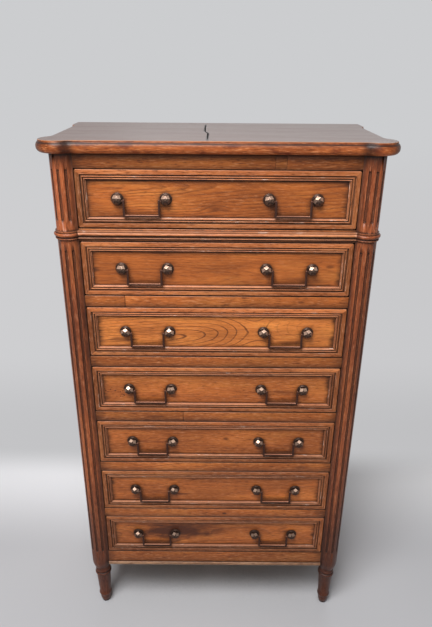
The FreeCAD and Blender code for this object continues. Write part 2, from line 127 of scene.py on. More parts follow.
class Graph:
    def __init__(self, tree):
        self.tree = tree
        tree.nodes.clear()

    def add(self, kind, settings=None, sockets=None, out=0):
        node = self.tree.nodes.new(kind)
        for key, value in (settings or {}).items():
            if key == "stops":
                self.fillRamp(node.color_ramp, value)
            else:
                setattr(node, key, value)
        for key, value in (sockets or {}).items():
            self.plug(node.inputs[key], value)
        return Wire(self, node.outputs[out]) if len(node.outputs) else node

    def plug(self, socket, value):
        if isinstance(value, Wire):
            self.tree.links.new(value.socket, socket)
        elif value is not None:
            socket.default_value = value

    def fillRamp(self, ramp, stops):
        while len(ramp.elements) < len(stops):
            ramp.elements.new(1.0)
        for element, (place, colour) in zip(ramp.elements, stops):
            element.position = place
            element.color = colour

    def maths(self, operation, *values):
        return self.add("ShaderNodeMath", {"operation": operation}, dict(enumerate(values)))

    def vector(self, operation, first, second=None, scale=None):
        sockets = {0: first, 1: second}
        if scale is not None:
            sockets["Scale"] = scale
        return self.add("ShaderNodeVectorMath", {"operation": operation}, sockets)

    def split(self, vector):
        node = self.add("ShaderNodeSeparateXYZ", None, {0: vector}).socket.node
        return [Wire(self, socket) for socket in node.outputs]

    def join(self, x, y, z):
        return self.add("ShaderNodeCombineXYZ", None, {0: x, 1: y, 2: z})

    def blend(self, factor, first, second, mode="MIX"):
        settings = {"data_type": "RGBA", "blend_type": mode, "clamp_factor": True}
        node = self.add("ShaderNodeMix", settings, {0: factor}).socket.node
        self.plug(node.inputs[6], first)
        self.plug(node.inputs[7], second)
        return Wire(self, node.outputs[2])

    def ease(self, value, low, high, start=0.0, end=1.0):
        sockets = {"Value": value, "From Min": low, "From Max": high, "To Min": start, "To Max": end}
        return self.add("ShaderNodeMapRange", {"interpolation_type": "SMOOTHSTEP"}, sockets)

    def band(self, value, rise, riseEnd, fall, fallEnd):
        return self.ease(value, rise, riseEnd) * (1.0 - self.ease(value, fall, fallEnd))

    def noise(self, place, scale, detail, roughness, seed, out=0):
        shift = (seed * 1.7, seed * 2.3, seed * 3.1)
        moved = self.add("ShaderNodeMapping", None, {"Vector": place, "Location": shift, "Scale": scale})
        return self.add("ShaderNodeTexNoise", None, {
            "Vector": moved, "Scale": 1.0, "Detail": detail, "Roughness": roughness}, out)

    def sway(self, place, chance, reach):
        shift = self.vector("SUBTRACT", chance, (0.5, 0.5, 0.5))
        return self.vector("ADD", place, self.vector("SCALE", shift, scale=reach))

    def attribute(self, name, out="Fac"):
        return self.add("ShaderNodeAttribute", {"attribute_name": name}, None, out)

    def objectPlace(self):
        return self.add("ShaderNodeTexCoord", None, None, "Object")

    def facingUp(self):
        return self.split(self.add("ShaderNodeNewGeometry", None, None, "Normal"))[2]

    def openness(self, reach, samples, inside=False):
        settings = {"samples": samples, "inside": inside, "only_local": inside}
        return self.add("ShaderNodeAmbientOcclusion", settings, {"Distance": reach}, "AO")

    def bump(self, height, strength, distance):
        return self.add("ShaderNodeBump", None, {
            "Strength": strength, "Distance": distance, "Height": height})


class Shaper(Graph):
    def __init__(self, name, **inputs):
        super().__init__(bpy.data.node_groups.new(name, "GeometryNodeTree"))
        face = self.tree.interface
        face.new_socket("Geometry", in_out="OUTPUT", socket_type="NodeSocketGeometry")
        for kind, titles in dict(Geometry=["Geometry"], Material=["Material"], **inputs).items():
            for title in titles:
                face.new_socket(title, in_out="INPUT", socket_type="NodeSocket" + kind)
        self.source = self.tree.nodes.new("NodeGroupInput")

    def given(self, title):
        return Wire(self, self.source.outputs[title])

    def repeat(self, title, count, spot, turn=None):
        points = self.add("GeometryNodePoints", None, {"Count": count})
        placed = self.add("GeometryNodeSetPosition", None, {"Geometry": points, "Position": spot})
        item = self.add("GeometryNodeObjectInfo", None, {"Object": self.given(title)}, "Geometry")
        self.deliver(self.add("GeometryNodeInstanceOnPoints", None, {
            "Points": placed, "Instance": item, "Rotation": turn}))

    def deliver(self, geometry):
        whole = self.add("GeometryNodeRealizeInstances", None, {"Geometry": geometry})
        dressed = self.add("GeometryNodeSetMaterial", None, {
            "Geometry": whole, "Material": self.given("Material")})
        self.add("NodeGroupOutput", None, {"Geometry": dressed})

    def make(self, mesh, values):
        temporary = placeObject("temporary", mesh)
        modifier = temporary.modifiers.new("shape", "NODES")
        modifier.node_group = self.tree
        for item in self.tree.interface.items_tree:
            if item.in_out == "INPUT" and item.name in values:
                modifier[item.identifier] = values[item.name]
        return bakedMesh(temporary)


def bakedMesh(temporary):
    depsgraph = bpy.context.evaluated_depsgraph_get()
    mesh = bpy.data.meshes.new_from_object(temporary.evaluated_get(depsgraph), depsgraph=depsgraph)
    old = temporary.data
    bpy.data.objects.remove(temporary)
    if old.users == 0:
        bpy.data.meshes.remove(old)
    return mesh


def paint(red, green, blue):
    def linear(value):
        value = value / 255
        return value / 12.92 if value <= 0.04045 else ((value + 0.055) / 1.055) ** 2.4
    return (linear(red), linear(green), linear(blue), 1.0)


def shades(light, middle, dark):
    return {"light": paint(*light), "middle": paint(*middle), "dark": paint(*dark)}


def newMaterial(name, slotName=None):
    material = bpy.data.materials.new(name)
    material.use_nodes = True
    return material, Graph(material.node_tree)


def finishMaterial(graph, sockets):
    shader = graph.add("ShaderNodeBsdfPrincipled", None, sockets)
    graph.add("ShaderNodeOutputMaterial", None, {"Surface": shader})


# Wood

woodNoise = {  # scale along and across the grain, detail, roughness, step of the seed
    "wander": (4, 13, 3, 0.5, 0),
    "fade": (5, 40, 3, 0.5, 3),
    "sway": (5, 20, 2, 0.5, 31),
    "streak": (9, 260, 4, 0.7, 0),
    "fibre": (34, 800, 2, 0.6, 0),
    "pores": (45, 620, 2, 0.5, 5),
    "fleck": (60, 420, 3, 0.6, 41),
    "cloud": (4.5, 20, 4, 0.6, 9),
    "patch": (3.5, 12, 3, 0.55, 37),
    "smoke": (16, 60, 4, 0.65, 13),
    "rubbed": (9, 50, 3, 0.6, 17),
    "scuffs": (30, 240, 3, 0.6, 47),
    "speck": (40, 160, 4, 0.7, 27),
    "mottle": (26, 60, 3, 0.6, 43),
    "smudge": (18, 70, 3, 0.6, 21),
}

markPlaces = {  # where marks begin and end on the chest, in metres
    "front": (-0.168, -0.16),
    "nearFloor": (0.14, 0.62),
    "underTop": (1.335, 1.383),
    "lobe": (0.365, 0.392),
    "hollowCorner": (0.3, 0.322, 0.328, 0.35),
    "topFront": (-0.1, -0.16),
    "fieldEdge": (-0.0012, -0.0006),
    "split": (-0.19, -0.16, 0.15, 0.17),
    "splitWidth": (0.0018, 0.0042),
}
plainHeart = {"height": 0.03, "depth": 0.05, "lean": 0.02, "tilt": 0.05}


def grainNoise(g, place, look, kind, out=0):
    along, across, detail, roughness, step = woodNoise[kind]
    return g.noise(place, (along, across, across), detail, roughness, look["seed"] + step, out)


def knotAt(x, z, long, tall, dark=0.0, push=0.0):
    return {"x": x, "z": z, "long": long, "tall": tall, "dark": dark, "push": push}


def knotSwell(along, across, knot, power):
    alongKnot = (along - knot["x"]) / knot["long"]
    acrossKnot = (across - knot["z"]) / knot["tall"]
    return (acrossKnot * acrossKnot + alongKnot * alongKnot + 1.0) ** power


def ringFigure(g, look, place):
    # growth rings round a heart that runs nearly along the board
    x, y, z = g.split(g.sway(place, grainNoise(g, place, look, "wander", 1), look["wander"]))
    heart = dict(plainHeart, **look["heart"])
    up = z - heart["height"] - x * heart["lean"]
    deep = y + heart["depth"] + x * heart["tilt"]
    for knot in look["knots"]:
        deep = deep + knotSwell(x, z, knot, -1.5) * knot["push"]
    radius = (up * up + deep * deep) ** 0.5
    ring = (radius / look["ringWidth"]).maths("FRACT")
    lateWood = g.band(ring, look["lateWood"], 0.9, 0.92, 1.0)
    if "ringsEnd" in look:
        lateWood = lateWood * g.ease(x, *look["ringsEnd"], 1.0, 0.2)
    return lateWood * g.ease(grainNoise(g, place, look, "fade"), 0.25, 0.65, look["ringFloor"], 1.0)


def figuredWood(g, look, place):
    rings = ringFigure(g, look, place)
    swayed = g.sway(place, grainNoise(g, place, look, "sway", 1), look["sway"])
    streak, fibre, pores, fleck = [
        grainNoise(g, swayed, look, kind) for kind in ("streak", "fibre", "pores", "fleck")]
    pores = g.ease(pores, 0.6, 0.7)
    cloud, patch = [grainNoise(g, place, look, kind) for kind in ("cloud", "patch")]
    tone = g.ease(cloud, 0.15, 0.85) * 0.46 + g.ease(streak, 0.2, 0.8) * 0.32 + fibre * 0.22
    base = g.add("ShaderNodeValToRGB", {"stops": [
        (0.15, look["dark"]), (0.5, look["middle"]), (0.85, look["light"])]}, {0: tone})
    base = g.vector("SCALE", base, scale=g.attribute("tone") * g.ease(patch, 0.32, 0.68, 0.8, 1.13))
    base = g.blend(rings * look["ringDepth"], base, look["line"])
    base = g.blend(pores * look["pores"], base, look["line"])
    base = g.blend(g.ease(fleck, 0.54, 0.68) * look["fleck"], base, look["line"])
    base = g.blend(g.ease(fleck, 0.46, 0.32) * look["fleck"] * 0.5, base, look["rub"])
    rough = g.ease(cloud + (streak - 0.5) * 0.4, 0.2, 0.8, look["rough"] - 0.05, look["rough"] + 0.08)
    relief = (streak * 0.4 + fibre * 0.2) - pores * 0.8 - rings * 0.3
    return base, rough, relief


def darkMarks(g, look, at, base):
    smoke = grainNoise(g, at["place"], look, "smoke") * 2.2
    spots = [(at["along"], at["across"], knot) for knot in look["knots"] if knot["dark"]]
    spots += [(at["side"], at["level"], knot) for knot in look["railKnots"]]
    for along, across, knot in spots:
        shade = g.ease(knotSwell(along, across, knot, -1.6) * smoke, 0.3, 1.0)
        base = g.blend(shade * knot["dark"], base, look["line"])
    if "wormHoles" in look:
        flat = g.join(at["along"], 0.0, at["across"])
        cells = g.add("ShaderNodeTexVoronoi", None, {
            "Vector": flat, "Scale": look["holeScale"]}, "Distance")
        near = g.ease(knotSwell(at["along"], at["across"], look["wormHoles"], -1.0), 0.45, 0.6)
        base = g.blend((1.0 - g.ease(cells, 0.17, 0.28)) * near, base, look["dirt"])
    return base


def wornWood(g, look, at, base):
    edge = g.openness(look["wearReach"], 6, True)
    worn = g.ease((1.0 - edge) * (at["rubbed"] + 0.5), 0.25, 0.75) * look["wear"]
    base = g.blend(worn, base, look["rub"])
    if "upperRub" in look:  # painted highlight where it faces up, painted shade where it faces down
        facing = g.facingUp()
        upper = g.ease(facing, 0.25, 0.8) * (at["rubbed"] + 0.1) * look["upperRub"]
        base = g.blend(upper, base, look["rub"])
        base = g.blend(g.ease(facing, 0.0, -0.35), base, look["dirt"])
    if "scuff" in look:
        scuffs = g.ease(grainNoise(g, at["place"], look, "scuffs"), 0.62, 0.7)
        base = g.blend(scuffs * g.ease(1.0 - edge, 0.1, 0.5) * 0.8, base, look["scuff"])
    if "lowest" in look:  # greyer towards the floor, with a painted shadow close under the top
        near = 1.0 - g.ease(at["level"], *markPlaces["nearFloor"])
        base = g.blend(near, base, look["lowest"], "MULTIPLY")
        base = g.blend(g.ease(at["level"], *markPlaces["underTop"]) * 0.6, base, look["dirt"])
    return base


def agedTop(g, look, at, base):
    # a fading field with a painted sheen and a painted highlight at its rounded edge, soiling and painted
    # shade on the lobes, painted shade and light by which way a face turns, painted shade under the lip,
    # and an old split
    place, side, deep, facing = at["place"], at["side"], at["deep"], g.facingUp()
    mottle = grainNoise(g, place, look, "mottle")
    base = g.blend(g.ease(mottle, 0.5, 0.66) * 0.75, base, look["edgeDark"])
    # soiling and painted shade on the lobes and in the hollow corners
    beside = abs(side)
    hollowCorner = g.band(beside, *markPlaces["hollowCorner"])
    lobe = g.ease(beside, *markPlaces["lobe"]) * 0.8 + hollowCorner
    lobe = lobe * g.ease(deep, *markPlaces["topFront"])
    base = g.blend(lobe * (at["rubbed"] + 0.25), base, look["dirt"])
    # painted shade and light: darker where a face turns up, lighter where it turns down
    base = g.vector("SCALE", base, scale=g.ease(facing, -0.7, 0.6, 1.6, 0.78))
    upper = g.ease(at["level"], *[look["face"] + place for place in markPlaces["fieldEdge"]])
    # painted shade along the rounding under the top face's edge
    underLip = g.ease(facing, 0.4, 0.62) * (1.0 - upper)
    base = g.blend(underLip * (at["rubbed"] * 0.6 + 0.5), base, look["dirt"])
    # painted highlight where the top face rounds over its edge
    base = g.blend(upper * 0.6, base, look["rub"])
    # fading and a painted sheen on the top face
    dusty = g.blend(grainNoise(g, place, look, "speck"), look["faded"], look["fadedDark"])
    base = g.blend(g.ease(facing, 0.7, 0.95) * upper, base, dusty)
    crack = look["crack"]
    stepOver = g.ease(deep, crack["near"], crack["far"], crack["frontX"], crack["backX"])
    stain = 1.0 - g.ease(abs(side - stepOver), *markPlaces["splitWidth"])
    return g.blend(stain * g.band(deep, *markPlaces["split"]), base, look["dirt"])


# darker in corners, gaps and hollows: painted shade, with soiling
def grimeMask(g, look, at):
    smudge = grainNoise(g, at["place"], look, "smudge")
    grime = g.ease((1.0 - g.openness(look["grimeReach"], 8)) * (smudge + 0.5), 0.04, look["grimeSoft"])
    if "rim" in look:  # painted shade along the frame round a drawer's field
        halfLong, halfTall = look["rim"]
        fromEnd = (halfLong - abs(at["along"])) * 0.45
        inward = fromEnd.maths("MINIMUM", halfTall - abs(at["across"]))
        grime = grime.maths("MAXIMUM", 1.0 - g.ease(inward + (smudge - 0.5) * 0.016, -0.002, 0.0065))
    beside = abs(at["side"])
    onFront = 1.0 - g.ease(at["deep"], *markPlaces["front"])
    if "seam" in look:  # painted shade on the stile, next to the drawers
        stile = 1.0 - g.ease(beside - look["seam"] + (smudge - 0.5) * 0.012, 0.0, 0.013)
        grime = grime.maths("MAXIMUM", stile * onFront * 0.8)
    if "ends" in look:  # darker on a rail, next to the posts
        nearPost = g.ease(beside + (smudge - 0.5) * 0.05, look["ends"] - 0.04, look["ends"])
        grime = grime.maths("MAXIMUM", nearPost * onFront * 0.6)
    return grime * look["grime"]


def walnut(name, slotName, **changes):
    look = dict(walnutLook, **changes)
    material, g = newMaterial(name, slotName)
    place = g.attribute("grain", "Vector")
    inBoard, inChest = g.split(place), g.split(g.objectPlace())
    at = {
        "place": place, "along": inBoard[0], "across": inBoard[2], "side": inChest[0],
        "deep": inChest[1], "level": inChest[2], "rubbed": grainNoise(g, place, look, "rubbed")}
    base, rough, relief = figuredWood(g, look, place)
    base = darkMarks(g, look, at, base)
    base = wornWood(g, look, at, base)
    if "faded" in look:
        base = agedTop(g, look, at, base)
    grime = grimeMask(g, look, at)
    finishMaterial(g, {
        "Base Color": g.blend(grime, base, look["dirt"]), "Roughness": rough + grime * 0.25,
        "Normal": g.bump(relief, *look["bump"]), "Specular IOR Level": look["shine"]})
    return material


walnutLook = {  # lengths in metres
    **shades((214, 131, 62), (184, 101, 45), (132, 68, 30)),
    "line": paint(84, 40, 18),
    # soiling in cracks and holes, and painted shade in corners, under edges and under the top
    "dirt": paint(34, 17, 11),
    # wear on edges and flecks, and painted highlight on faces turned up
    "rub": paint(232, 164, 116),
    "heart": {},
    "wander": 0.02,
    "ringWidth": 0.0045,
    "ringDepth": 0.28,
    "lateWood": 0.4,
    "ringFloor": 0.0,
    "fleck": 0.75,
    "pores": 0.34,
    "sway": 0.012,
    "bump": (0.35, 0.0004),  # strength, height
    "grime": 0.85,
    "grimeSoft": 0.42,
    "grimeReach": 0.016,
    "wear": 0.6,
    "wearReach": 0.003,
    "rough": 0.34,
    "shine": 0.35,
    "seed": 0.0,
    "knots": [],  # placed in a board
    "railKnots": [],  # placed on the front of the chest
}
caseWalnut = walnut("caseWalnut", "case_wood", grimeReach=0.022)
railWalnut = walnut(
    "railWalnut", "case_wood", grimeReach=0.022, ends=0.322, upperRub=0.3, railKnots=[
        knotAt(0.027, 0.368, 0.009, 0.005, 0.95),
        knotAt(0.205, 1.033, 0.01, 0.004, 0.6),
        knotAt(-0.16, 0.7, 0.03, 0.006, 0.5),
        knotAt(0.24, 0.535, 0.035, 0.008, 0.5)])
topWalnut = walnut(
    "topWalnut", "case_wood", **shades((186, 106, 54), (152, 80, 40), (104, 52, 26)), seed=2.0,
    faded=paint(126, 109, 104), fadedDark=paint(88, 73, 69), edgeDark=paint(92, 38, 22),
    shine=0.22, rough=0.36, face=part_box("top")[1].z,
    crack={"near": -0.05, "far": 0.01, "frontX": -0.0235, "backX": -0.0328})
mouldingWalnut = walnut(
    "mouldingWalnut", "moulding_wood", **shades((215, 138, 84), (183, 107, 61), (123, 63, 35)), seed=4.0,
    grimeReach=0.01, grime=0.8, grimeSoft=0.6, wear=0.35, wearReach=0.0045, upperRub=0.5,
    rub=paint(216, 158, 126), scuff=paint(236, 206, 188), shine=0.22, rough=0.4)
beadWalnut = walnut(
    "beadWalnut", "moulding_wood", **shades((188, 154, 124), (156, 118, 90), (104, 70, 46)), seed=6.0)
columnWalnut = walnut(
    "columnWalnut", "column_wood", **shades((200, 114, 62), (158, 82, 44), (104, 48, 26)), seed=8.0,
    seam=0.32, grimeReach=0.01, grimeSoft=0.22, wear=0.9,
    rub=paint(216, 152, 112), lowest=paint(146, 138, 142))
innerWood = walnut(
    "innerWood", "inside_wood", **shades((214, 176, 130), (190, 148, 104), (158, 116, 78)), seed=12.0,
    line=paint(112, 80, 48), dirt=paint(70, 50, 32), fleck=0.3, rough=0.7, shine=0.3)
backWood = walnut(
    "backWood", "back_wood", **shades((150, 122, 88), (124, 96, 66), (96, 72, 48)), seed=16.0,
    line=paint(70, 48, 30), dirt=paint(44, 32, 22), fleck=0.3, rough=0.8, shine=0.3)

drawerFigures = {  # what each drawer front has of its own
    1: {"heart": {"depth": 0.03, "tilt": 0.06}, "ringDepth": 0.62, "ringWidth": 0.006,
        "fleck": 0.42, "knots": [knotAt(-0.005, -0.018, 0.035, 0.014, 0.45, 0.02)]},
    2: {"heart": {"height": -0.02}, "fleck": 0.28, "knots": [
        knotAt(0.268, 0.007, 0.014, 0.006, 0.6), knotAt(0.215, -0.028, 0.06, 0.013, 0.55)]},
    3: {"heart": {"height": -0.004, "depth": 0.016, "lean": 0.09, "tilt": 0.0},
        **shades((219, 139, 67), (188, 109, 50), (134, 73, 33)),
        "ringWidth": 0.008, "ringDepth": 0.85, "ringFloor": 0.5, "ringsEnd": (0.1, 0.16),
        "lateWood": 0.76, "wander": 0.014, "fleck": 0.4, "knots": [
            knotAt(0.1, 0.0, 0.12, 9.0, 0.0, 0.05),
            knotAt(-0.247, -0.022, 0.035, 0.009, 0.55),
            knotAt(0.185, -0.03, 0.06, 0.009, 0.65)]},
    4: {"heart": {"height": 0.06}, "fleck": 0.6,
        "knots": [knotAt(0.175, -0.01, 0.05, 0.013, 0.6)],
        "wormHoles": knotAt(-0.258, -0.012, 0.042, 0.015), "holeScale": 150.0},
    5: {"heart": {"height": -0.05}, "fleck": 0.6,
        "knots": [knotAt(0.028, 0.008, 0.011, 0.006, 0.7, 0.008)]},
    6: {"heart": {"height": 0.04, "tilt": 0.03}, "fleck": 0.55,
        "knots": [knotAt(-0.1, -0.018, 0.028, 0.006, 0.7)]},
    7: {"heart": {"height": 0.0, "tilt": 0.08}, "ringDepth": 0.5, "ringWidth": 0.006,
        "fleck": 0.55, "knots": [
            knotAt(-0.115, 0.012, 0.17, 0.052, 1.0, 0.03),
            knotAt(-0.025, -0.004, 0.012, 0.007, 0.7, 0.01),
            knotAt(0.215, 0.008, 0.03, 0.01, 0.6, 0.01)]},
}
drawerTones = {1: 0.9, 2: 1.02, 3: 1.34, 4: 1.06, 5: 1.05, 6: 1.08, 7: 0.98}
print("wood ready")


# Metal

def agedMetal(name, **changes):
    look = dict(metalLook, **changes)
    material, g = newMaterial(name, "pull_metal")
    place = g.objectPlace()
    cloud = g.noise(place, [look["cloudScale"]] * 3, 3.0, 0.6, look["seed"])
    pits = g.noise(place, [look["pitScale"]] * 3, 2.0, 0.5, look["seed"])
    hollow = g.openness(look["hollowReach"], 6)
    arris = g.openness(look["arrisReach"], 6, True)
    polish = g.attribute("polish") if look["polished"] else 1.0
    rubbed = g.ease((1.0 - arris) + cloud * 0.4, 0.35, 0.75)
    # painted highlight: brighter where the metal faces up, duller where it faces down
    lit = g.ease(g.facingUp(), *look["litFrom"], look["underShine"], 1.0)
    bright = (rubbed * 0.45 + look["evenShine"]) * lit * polish
    bright = bright * g.ease(hollow, 0.35, 0.85)
    if "lowShine" in look:  # painted shade: duller towards the floor
        bright = bright * g.ease(g.split(place)[2], 0.15, 1.15, look["lowShine"], 1.0)
    finishMaterial(g, {
        "Base Color": g.blend(bright, look["dull"], look["bright"]),
        "Metallic": look["metallic"],
        "Roughness": look["rough"] + cloud * 0.1 + (1.0 - bright) * 0.14,
        "Normal": g.bump(pits + cloud, *look["bump"])})
    return material


metalLook = {  # lengths in metres
    "bright": paint(236, 198, 172),
    "dull": paint(60, 40, 31),
    "rough": 0.25,
    "metallic": 0.67,
    "evenShine": 0.65,
    "underShine": 0.17,
    "litFrom": (-0.3, 0.5),
    "hollowReach": 0.006,
    "arrisReach": 0.0014,
    "cloudScale": 160.0,
    "pitScale": 900.0,
    "bump": (0.3, 0.0003),
    "polished": True,
    "seed": 1.0,
}
pullMetal = agedMetal("pullMetal", lowShine=0.35)
bailMetal = agedMetal(
    "bailMetal", bright=paint(208, 146, 114), dull=paint(62, 34, 24), rough=0.32, metallic=0.5,
    evenShine=0.55, underShine=0.03, litFrom=(0.1, 0.75), hollowReach=0.0025, arrisReach=0.0012,
    seed=2.0)
nailIron = agedMetal(
    "nailIron", bright=paint(120, 100, 88), dull=paint(46, 36, 32), rough=0.5, metallic=0.7,
    evenShine=0.3, underShine=0.6, litFrom=(-0.2, 0.7), hollowReach=0.003, arrisReach=0.001,
    polished=False, seed=3.0)
print("metal ready")


# Pieces

boardSetup = {
    "bevel": 0.8,  # millimetres
    "smoothAngle": 30,  # degrees
    "flat": 1.0,  # degrees between faces that become one
    "weld": 1e-6,  # metres
    "tones": (0.9, 1.08),
    "offsets": (4, 0.02, 0.08),  # metres that the grain of a board may lie off
}


def camelName(node):
    first, *others = node.split("_")
    return first + "".join(word.title() for word in others)


def addPiece(mesh, body, material, node=None, name=None):
    piece = placeObject(name or camelName(node), mesh)
    mesh.materials.clear()
    mesh.materials.append(material)
    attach(piece, body)
    if node:
        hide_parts(node)


def workOn(mesh):
    work = bmesh.new()
    work.from_mesh(mesh)
    return work


def putInto(mesh, work, outward=True):
    if outward:
        bmesh.ops.recalc_face_normals(work, faces=work.faces)
    work.to_mesh(mesh)
    work.free()
    return mesh


def newMesh(name, work, outward=True):
    return putInto(bpy.data.meshes.new(name), work, outward)


def shadeByAngle(mesh, degrees):
    mesh.shade_smooth()
    mesh.set_sharp_from_angle(angle=math.radians(degrees))


def mergedCopy(node):
    work = workOn(nodes[node].data)
    bmesh.ops.remove_doubles(work, verts=work.verts, dist=boardSetup["weld"])
    flat = math.radians(boardSetup["flat"])
    bmesh.ops.dissolve_limit(work, angle_limit=flat, verts=work.verts, edges=work.edges)
    return newMesh("copy", work, outward=False)


def softened(mesh, width, segments=2, angle=40):
    temporary = placeObject("temporary", mesh)
    bevel = temporary.modifiers.new("edges", "BEVEL")
    bevel.width = width
    bevel.segments = segments
    bevel.limit_method = "ANGLE"
    bevel.angle_limit = math.radians(angle)
    return bakedMesh(temporary)


def islands(mesh):
    parent = list(range(len(mesh.vertices)))

    def root(index):
        while parent[index] != index:
            parent[index] = parent[parent[index]]
            index = parent[index]
        return index

    for edge in mesh.edges:
        first, second = root(edge.vertices[0]), root(edge.vertices[1])
        if first != second:
            parent[first] = second
    groups = {}
    for index in range(len(parent)):
        groups.setdefault(root(index), []).append(index)
    return list(groups.values())


def writeGrain(mesh, domain, grain, tone):
    mesh.attributes.new("grain", "FLOAT_VECTOR", domain).data.foreach_set("vector", grain)
    mesh.attributes.new("tone", "FLOAT", domain).data.foreach_set("value", tone)


def grainAlong(mesh, seed, axis=None, still=False, tones=None):
    places = np.array([v.co for v in mesh.vertices])
    grain = np.zeros_like(places)
    tone = np.zeros(len(places))
    boards = islands(mesh)
    boards.sort(key=lambda group: tuple(np.round(places[group].mean(0), 3)[[2, 0, 1]]))
    draw = random.Random(seed)
    for index, group in enumerate(boards):
        points = places[group]
        tone[group] = tones[index % len(tones)] if tones else draw.uniform(*boardSetup["tones"])
        along = axis if axis is not None else int(np.argmax(points.max(0) - points.min(0)))
        order = [along] + [other for other in (1, 2, 0) if other != along]
        offset = np.array([draw.uniform(-reach, reach) for reach in boardSetup["offsets"]])
        offset = offset * (0 if still else 1)
        centre = (points.max(0) + points.min(0)) / 2
        grain[group] = (points - centre)[:, order] + offset
    writeGrain(mesh, "POINT", grain.astype(np.float32).ravel(), tone.astype(np.float32))


def onCircle(radius, out, turn):
    return (radius * mm * math.cos(turn), -out * mm, radius * mm * math.sin(turn))


def turnedShell(work, profile, steps):
    rings = []
    for radius, out in profile:
        turns = [2 * math.pi * step / steps for step in range(steps if radius else 1)]
        rings.append([work.verts.new(onCircle(radius, out, turn)) for turn in turns])
    for lower, upper in zip(rings, rings[1:]):
        for step in range(steps):
            after = (step + 1) % steps
            corners = [lower[step % len(lower)], lower[after % len(lower)],
                       upper[after % len(upper)], upper[step % len(upper)]]
            corners = list(dict.fromkeys(corners))
            if len(corners) > 2:
                work.faces.new(corners)


def cutAcross(mesh, joints):
    # butt joints across long boards, in millimetres: X of the cut, lowest and highest Z of the board
    work = workOn(mesh)
    slack = 0.1
    for x, low, high in joints:
        def inBoard(part):
            return all((low - slack) * mm < v.co.z < (high + slack) * mm for v in part.verts)
        faces = [f for f in work.faces if inBoard(f)]
        edges = [e for e in work.edges if inBoard(e)]
        verts = list({v for f in faces for v in f.verts})
        result = bmesh.ops.bisect_plane(
            work, geom=faces + edges + verts, plane_co=(x * mm, 0, 0), plane_no=(1, 0, 0))
        rim = [e for e in result["geom_cut"] if isinstance(e, bmesh.types.BMEdge)]
        split = bmesh.ops.split_edges(work, edges=rim)
        bmesh.ops.holes_fill(work, edges=split["edges"])
    putInto(mesh, work)


def woodPiece(node, body, material, name=None, bevel=boardSetup["bevel"], axis=None, seed=1,
              still=False, tones=None, joints=()):
    mesh = mergedCopy(node)
    if joints:
        cutAcross(mesh, joints)
    if bevel:
        mesh = softened(mesh, bevel * mm)
    grainAlong(mesh, seed, axis, still, tones)
    shadeByAngle(mesh, boardSetup["smoothAngle"])
    addPiece(mesh, body, material, node, name)


uprightWood = {"axis": 2, "bevel": 0}
casePieces = {  # what each node is made of, and how
    "top": (topWalnut, {"name": "topBoard", "axis": 0, "bevel": 0, "tones": [1.0]}),
    "front_left_post": (columnWalnut, dict(uprightWood, name="leftColumnPost")),
    "front_right_post": (columnWalnut, dict(uprightWood, name="rightColumnPost", tones=[0.87])),
    "rear_left_post": (columnWalnut, dict(uprightWood, name="leftBackPost")),
    "rear_right_post": (columnWalnut, dict(uprightWood, name="rightBackPost")),
    "left_side_panels": (caseWalnut, uprightWood),
    "right_side_panels": (caseWalnut, uprightWood),
    "side_rails": (caseWalnut, {}),
    "frieze_rail": (railWalnut, {
        "axis": 0, "tones": [0.88, 0.74, 0.94], "joints": [(127, 1349, 1383), (152, 1349, 1383)]}),
    "drawer_rails": (railWalnut, {
        "axis": 0, "bevel": 1.8, "tones": [1.0, 0.94, 1.02, 0.77, 0.8, 0.92, 0.98, 1.06, 1.0],
        "joints": [(-222.6, 1017, 1047), (-86.9, 685, 715)]}),
    "base_rail": (railWalnut, {"axis": 0, "tones": [0.79]}),
    "base_bead": (beadWalnut, {"axis": 0, "bevel": 0}),
    "belt_moulding": (mouldingWalnut, {"bevel": 0, "tones": [0.9]}),
    "back_rails": (innerWood, {"axis": 0}),
    "back_boards": (backWood, {"axis": 2}),
    "drawer_runners": (innerWood, {}),
    "drawer_guides": (innerWood, {}),
    "drawer_stops": (innerWood, {}),
}
for index, (node, (material, extra)) in enumerate(casePieces.items()):
    woodPiece(node, "carcass", material, seed=index + 1, **extra)


nailSetup = {  # millimetres
    "head": [(0.0, 0.4), (3.2, 0.4), (3.2, -0.36), (2.24, -0.765), (0.0, -0.9)],  # radius, out
    "sides": 12,
    "boards": 5,
    "rows": 3,
    "fromEdge": 22.0,  # first nail from the side of a board
    "inRail": 18.0,  # outer rows from the edge of the back rails
    "scatter": 2.5,
    "seed": 3,
}


def makeNail(setup):
    work = bmesh.new()
    turnedShell(work, setup["head"], setup["sides"])
    mesh = newMesh("nail", work)
    mesh.shade_smooth()
    return placeObject("nail", mesh)


def nailTree():
    g = Shaper("nailRows", Object=["Nail"], Int=["Boards", "Rows", "Seed"], Float=[
        "Pitch", "From Edge", "First Height", "Row Gap", "Left", "Rear", "Scatter"])
    perRow = g.given("Boards") * 2.0
    index = g.add("GeometryNodeInputIndex")
    column = index.maths("MODULO", perRow)
    row = (index / perRow).maths("FLOOR")
    board = (column / 2.0).maths("FLOOR")
    pitch, inset = g.given("Pitch"), g.given("From Edge")
    x = g.given("Left") + board * pitch + inset + column.maths("MODULO", 2.0) * (pitch - inset * 2.0)
    chance = g.add("FunctionNodeRandomValue", {"data_type": "FLOAT_VECTOR"}, {
        0: (-1.0, 0.0, -1.0), 1: (1.0, 0.0, 1.0), "ID": index, "Seed": g.given("Seed")})
    spot = g.join(x, g.given("Rear"), g.given("First Height") + row * g.given("Row Gap"))
    spot = g.vector("ADD", spot, g.vector("SCALE", chance, scale=g.given("Scatter")))
    g.repeat("Nail", perRow * g.given("Rows"), spot)
    return g


